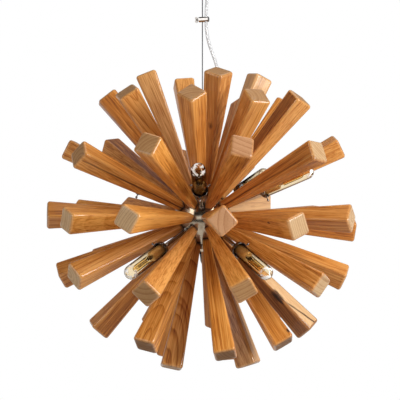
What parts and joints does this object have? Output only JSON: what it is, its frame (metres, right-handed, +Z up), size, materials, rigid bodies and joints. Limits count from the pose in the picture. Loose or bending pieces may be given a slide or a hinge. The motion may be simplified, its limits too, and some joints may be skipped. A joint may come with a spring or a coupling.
{
  "type": "pendant lamp",
  "caption": "Sputnik pendant lamp: a ball of tapered wooden prongs on a chrome hub, with small glass-covered lamps between them, hung from the ceiling on a steel wire.",
  "frame": {"origin": "centre of the two ceiling screws, on the ceiling face of the mounting bar", "axes": "+Z up into the ceiling, -Y to the front of the lamp as pictured, +X to its right"},
  "size_m": [0.6004, 0.6017, 0.801],
  "materials": {
    "wood": "satin oiled hardwood",
    "chrome": "polished",
    "steel": "bright drawn",
    "cover_glass": "clear",
    "capsule_glass": "clear quartz",
    "socket_ceramic": "glazed ceramic",
    "clear_cord": "clear two-core cord",
    "clear_plastic": "clear",
    "terminal_plastic": "moulded"
  },
  "bodies": {
    "lamp": {"base_prongs": "wood", "bottom_cap_nut": "chrome", "canopy": "chrome", "ceiling_bar": "steel", "cord_bush": "clear_plastic", "cord_gland": "clear_plastic", "crown_prongs": "wood", "equator_prongs": "wood", "gland_nut": "steel", "glass_covers": "cover_glass", "gripper_body": "chrome", "hub_bowl": "chrome", "hub_cap": "chrome", "hub_tie_tube": "steel", "junction_block": "terminal_plastic", "lamp_capsules": "capsule_glass", "lamp_collars": "chrome", "lamp_holders": "socket_ceramic", "lamp_stems": "chrome", "lower_prongs": "wood", "power_cord": "clear_cord", "shoulder_prongs": "wood", "skirt_prongs": "wood", "stub_nut": "steel", "suspension_wire": "steel", "terminal_block": "terminal_plastic", "upper_prongs": "wood", "wire_bush": "chrome", "wire_ferrule": "steel"},
    "clip": {"cord_clip": "chrome"},
    "clip_screw": {"clip_wing_screw": "chrome"},
    "plunger": {"gripper_plunger": "chrome"}
  },
  "joints": [
    {"name": "clip_slide", "type": "slide", "parent": "lamp", "child": "clip", "axis": [0, 0, 1], "range_m": [-0.008, 0.002]},
    {"name": "clip_screw_turn", "type": "hinge", "parent": "clip", "child": "clip_screw", "pos_m": [0, 0, -0.126], "axis": [-0.9397, 0.342, 0], "range_deg": [-360, 90]},
    {"name": "plunger_press", "type": "slide", "parent": "lamp", "child": "plunger", "axis": [0, 0, 1], "range_m": [0, 0.0025], "stiffness_N_per_m": 400}
  ]
}
